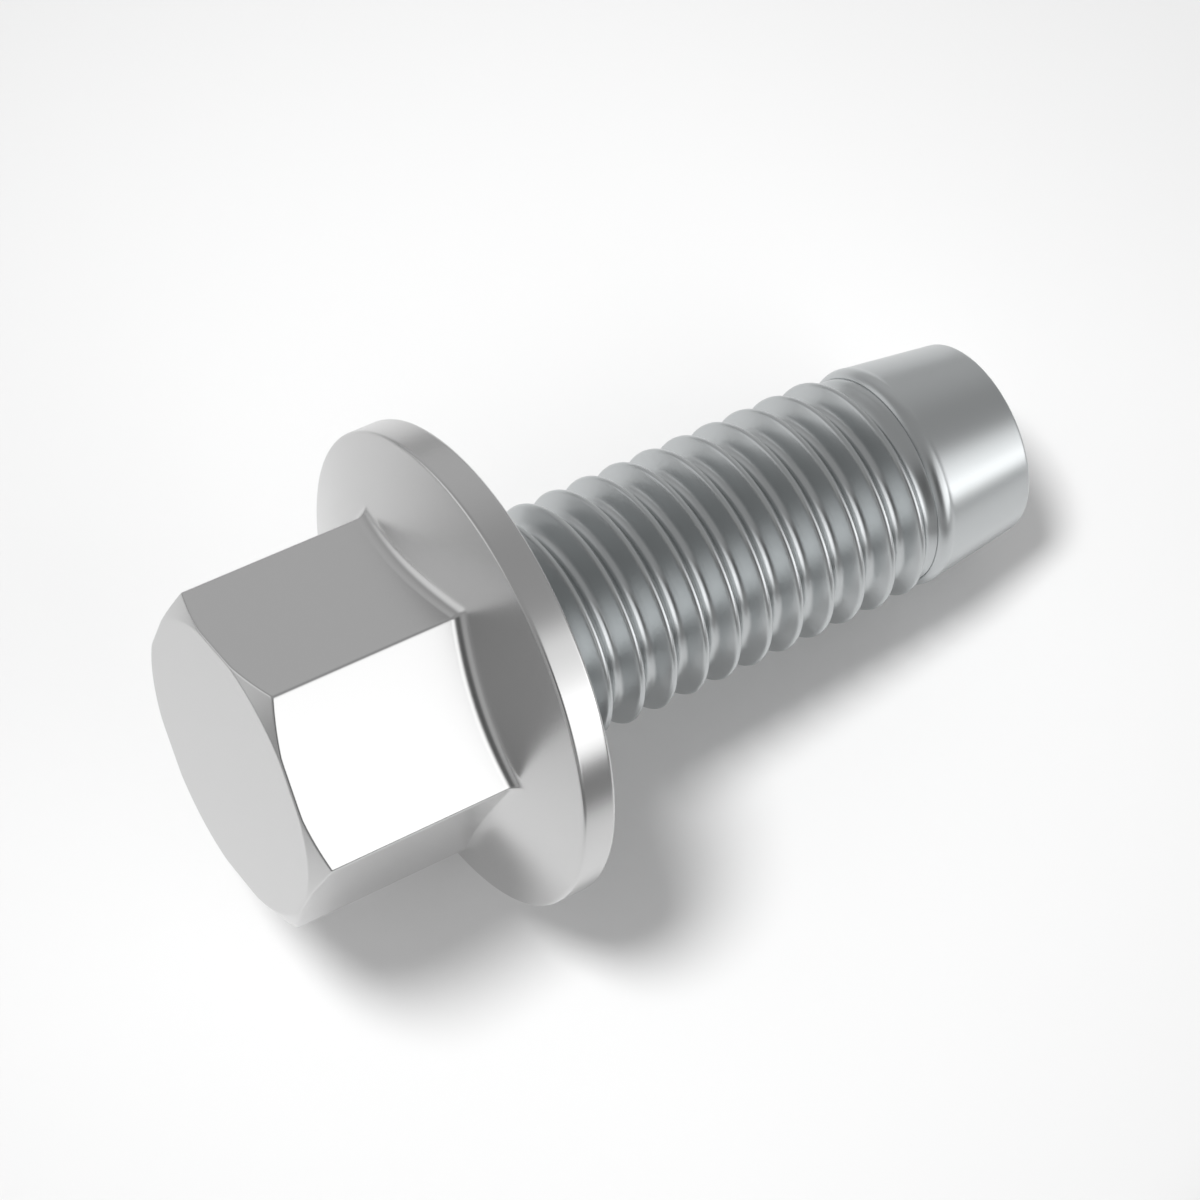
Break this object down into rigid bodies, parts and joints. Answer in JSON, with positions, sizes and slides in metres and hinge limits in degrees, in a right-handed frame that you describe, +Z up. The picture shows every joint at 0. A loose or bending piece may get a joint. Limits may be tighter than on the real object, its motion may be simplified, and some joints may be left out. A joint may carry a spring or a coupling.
{
  "type": "hex washer head self-tapping screw",
  "caption": "Thread-forming M8 screw with a hexagon washer head and a tapered lead point, lying on its flange rim and point end.",
  "frame": {"origin": "middle of the footprint, on the surface that the screw lies on", "axes": "+X runs along the screw from its head to its point, +Z is up; the screw's own axis lies in the XZ plane and slopes 13.43 degrees down towards the point"},
  "size_m": [0.0302, 0.0164, 0.0163],
  "materials": {
    "steel": "smooth cold-formed steel with a thin bright zinc coat, satin gloss"
  },
  "bodies": {
    "root": {"screw": "steel"}
  },
  "joints": []
}
